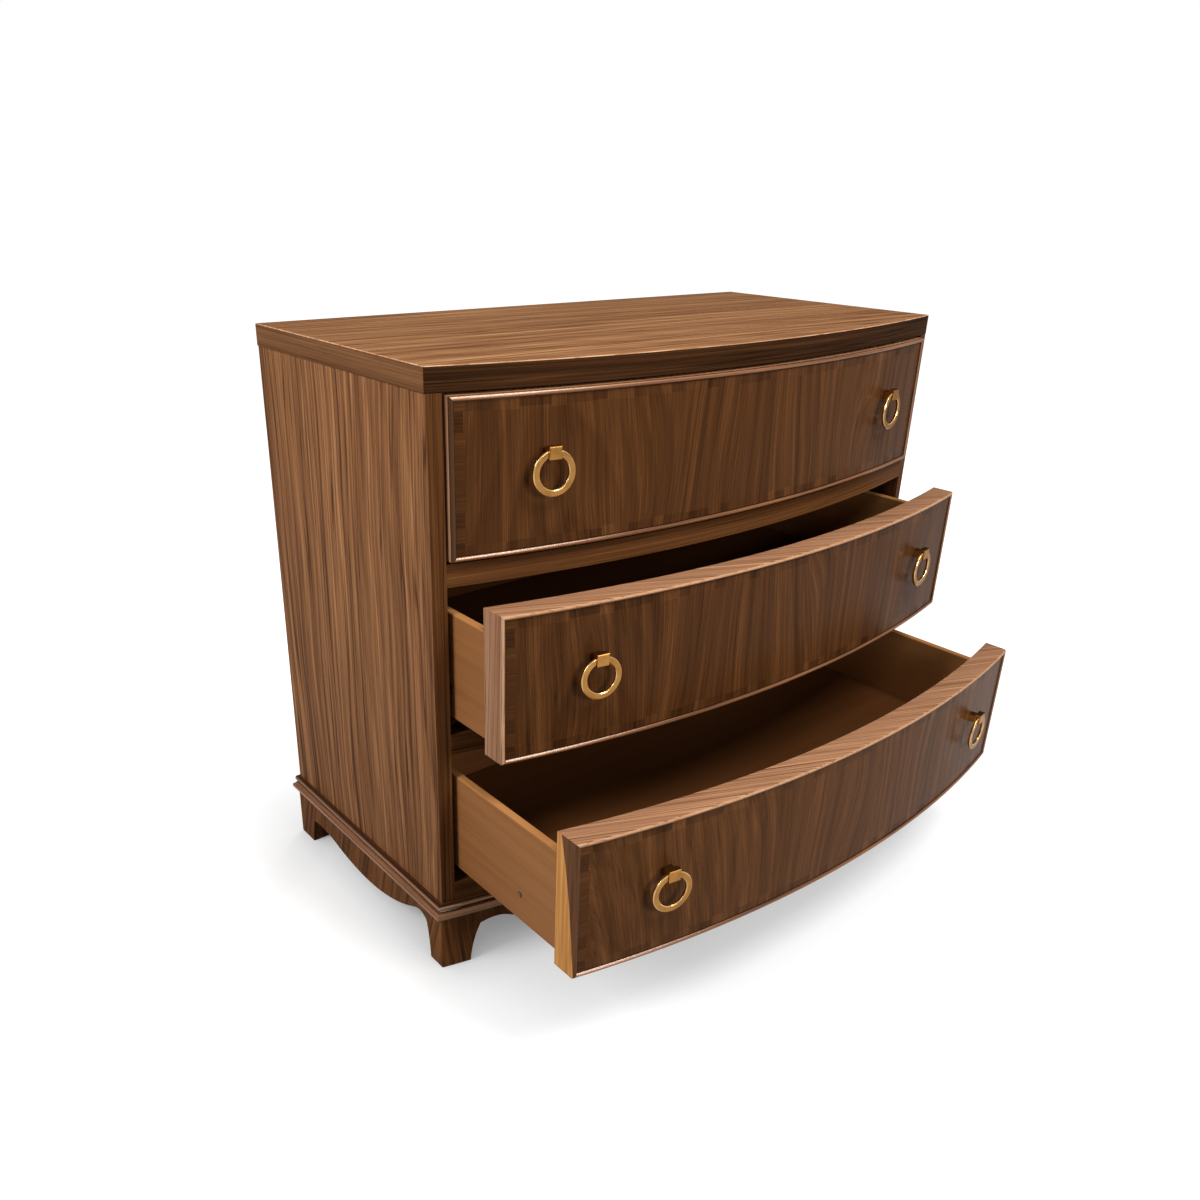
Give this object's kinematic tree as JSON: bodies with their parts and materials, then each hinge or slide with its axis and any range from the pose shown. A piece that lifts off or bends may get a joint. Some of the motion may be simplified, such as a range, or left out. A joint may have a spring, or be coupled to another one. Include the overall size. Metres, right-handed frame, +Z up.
{
  "type": "bow-front chest of drawers",
  "caption": "Bow-front walnut dresser on a bracket base, with beaded drawers on full-extension slides and hinged brass ring pulls.",
  "frame": {"origin": "on the floor, under the middle of the chest's overall box with its drawers standing as in the rest pose (top drawer closed, middle and lower drawers partly open)", "axes": "+X to the right along the width, -Y towards the drawer fronts, +Z up"},
  "size_m": [1.043, 0.7869, 0.88],
  "materials": {
    "walnut_top": "satin lacquered walnut veneer, straight grain across the top",
    "walnut_side": "satin lacquered walnut veneer, upright figured grain",
    "walnut_frame": "satin lacquered walnut",
    "walnut_base": "satin lacquered dark walnut",
    "walnut_front": "polished walnut veneer with a cross-banded border",
    "walnut_bead": "polished walnut bead",
    "drawer_side_wood": "lacquered golden hardwood",
    "drawer_inner_wood": "stained and sealed wood",
    "hidden_wood": "plain secondary wood",
    "brass": "satin antique brass with bright edges",
    "zinc_steel": "zinc-plated steel",
    "clip_plastic": "moulded grey plastic"
  },
  "bodies": {
    "case": {"apron_front": "walnut_base", "apron_left": "walnut_base", "apron_right": "walnut_base", "back_panel": "hidden_wood", "bottom_panel": "hidden_wood", "case_screws": "zinc_steel", "corner_blocks": "hidden_wood", "moulding_front": "walnut_base", "moulding_left": "walnut_base", "moulding_right": "walnut_base", "rail_bottom": "walnut_frame", "rail_lower": "walnut_frame", "rail_upper": "walnut_frame", "rear_brackets": "walnut_base", "side_panel_left": "walnut_side", "side_panel_right": "walnut_side", "slide_case_members": "zinc_steel", "stile_left": "walnut_frame", "stile_right": "walnut_frame", "top_panel": "walnut_top", "top_stretchers": "hidden_wood"},
    "drawer_1": {"drawer_1_back": "drawer_inner_wood", "drawer_1_bead": "walnut_bead", "drawer_1_bottom": "drawer_inner_wood", "drawer_1_front": "walnut_front", "drawer_1_pull_posts": "brass", "drawer_1_screws": "zinc_steel", "drawer_1_side_left": "drawer_side_wood", "drawer_1_side_right": "drawer_side_wood", "drawer_1_slide_clips": "clip_plastic", "drawer_1_slide_members": "zinc_steel"},
    "drawer_1_slide_carriers": {"drawer_1_slide_carriers": "zinc_steel"},
    "drawer_1_ring_left": {"drawer_1_ring_left": "brass"},
    "drawer_1_ring_right": {"drawer_1_ring_right": "brass"},
    "drawer_2": {"drawer_2_back": "drawer_inner_wood", "drawer_2_bead": "walnut_bead", "drawer_2_bottom": "drawer_inner_wood", "drawer_2_front": "walnut_front", "drawer_2_pull_posts": "brass", "drawer_2_screws": "zinc_steel", "drawer_2_side_left": "drawer_side_wood", "drawer_2_side_right": "drawer_side_wood", "drawer_2_slide_clips": "clip_plastic", "drawer_2_slide_members": "zinc_steel"},
    "drawer_2_slide_carriers": {"drawer_2_slide_carriers": "zinc_steel"},
    "drawer_2_ring_left": {"drawer_2_ring_left": "brass"},
    "drawer_2_ring_right": {"drawer_2_ring_right": "brass"},
    "drawer_3": {"drawer_3_back": "drawer_inner_wood", "drawer_3_bead": "walnut_bead", "drawer_3_bottom": "drawer_inner_wood", "drawer_3_front": "walnut_front", "drawer_3_pull_posts": "brass", "drawer_3_screws": "zinc_steel", "drawer_3_side_left": "drawer_side_wood", "drawer_3_side_right": "drawer_side_wood", "drawer_3_slide_clips": "clip_plastic", "drawer_3_slide_members": "zinc_steel"},
    "drawer_3_slide_carriers": {"drawer_3_slide_carriers": "zinc_steel"},
    "drawer_3_ring_left": {"drawer_3_ring_left": "brass"},
    "drawer_3_ring_right": {"drawer_3_ring_right": "brass"}
  },
  "joints": [
    {"name": "drawer_1_slide", "type": "slide", "parent": "case", "child": "drawer_1", "axis": [0, -1, 0], "range_m": [0, 0.36]},
    {"name": "drawer_1_carrier_slide", "type": "slide", "parent": "case", "child": "drawer_1_slide_carriers", "axis": [0, -1, 0], "range_m": [0, 0.18]},
    {"name": "drawer_1_ring_left_hinge", "type": "hinge", "parent": "drawer_1", "child": "drawer_1_ring_left", "pos_m": [-0.35476, -0.11817, 0.768], "axis": [-0.984, 0.178, 0], "range_deg": [-12, 95]},
    {"name": "drawer_1_ring_right_hinge", "type": "hinge", "parent": "drawer_1", "child": "drawer_1_ring_right", "pos_m": [0.35476, -0.11817, 0.768], "axis": [-0.984, -0.178, 0], "range_deg": [-12, 95]},
    {"name": "drawer_2_slide", "type": "slide", "parent": "case", "child": "drawer_2", "axis": [0, -1, 0], "range_m": [-0.104, 0.256]},
    {"name": "drawer_2_carrier_slide", "type": "slide", "parent": "case", "child": "drawer_2_slide_carriers", "axis": [0, -1, 0], "range_m": [-0.052, 0.128]},
    {"name": "drawer_2_ring_left_hinge", "type": "hinge", "parent": "drawer_2", "child": "drawer_2_ring_left", "pos_m": [-0.35476, -0.22217, 0.524], "axis": [-0.984, 0.178, 0], "range_deg": [-12, 95]},
    {"name": "drawer_2_ring_right_hinge", "type": "hinge", "parent": "drawer_2", "child": "drawer_2_ring_right", "pos_m": [0.35476, -0.22217, 0.524], "axis": [-0.984, -0.178, 0], "range_deg": [-12, 95]},
    {"name": "drawer_3_slide", "type": "slide", "parent": "case", "child": "drawer_3", "axis": [0, -1, 0], "range_m": [-0.256, 0.104]},
    {"name": "drawer_3_carrier_slide", "type": "slide", "parent": "case", "child": "drawer_3_slide_carriers", "axis": [0, -1, 0], "range_m": [-0.128, 0.052]},
    {"name": "drawer_3_ring_left_hinge", "type": "hinge", "parent": "drawer_3", "child": "drawer_3_ring_left", "pos_m": [-0.35476, -0.37417, 0.28], "axis": [-0.984, 0.178, 0], "range_deg": [-12, 95]},
    {"name": "drawer_3_ring_right_hinge", "type": "hinge", "parent": "drawer_3", "child": "drawer_3_ring_right", "pos_m": [0.35476, -0.37417, 0.28], "axis": [-0.984, -0.178, 0], "range_deg": [-12, 95]}
  ],
  "couplings": [
    {"joint": "drawer_1_carrier_slide", "follows": "drawer_1_slide", "ratio": 0.5},
    {"joint": "drawer_2_carrier_slide", "follows": "drawer_2_slide", "ratio": 0.5},
    {"joint": "drawer_3_carrier_slide", "follows": "drawer_3_slide", "ratio": 0.5}
  ]
}
